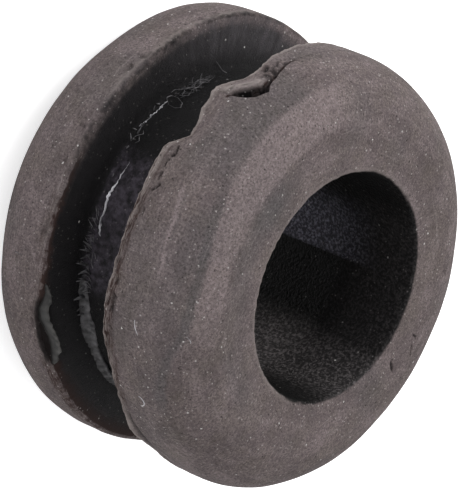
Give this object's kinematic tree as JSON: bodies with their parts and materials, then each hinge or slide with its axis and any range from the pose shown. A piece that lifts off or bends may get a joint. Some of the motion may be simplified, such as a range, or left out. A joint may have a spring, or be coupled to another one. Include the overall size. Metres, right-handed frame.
{
  "type": "rubber grommet",
  "caption": "Moulded rubber grommet with rounded flanges, a panel groove round its waist and a plain through bore, its rim worn and edged with moulding flash.",
  "frame": {"origin": "centre of the rear flange's flat face, which the part lies on", "axes": "+Z along the bore from the rear flange to the front flange; -Y towards the torn and flashed side"},
  "size_m": [0.02, 0.02, 0.0124],
  "materials": {
    "rubber": "matt, dusty"
  },
  "bodies": {
    "root": {"grommet": "rubber"}
  },
  "joints": []
}
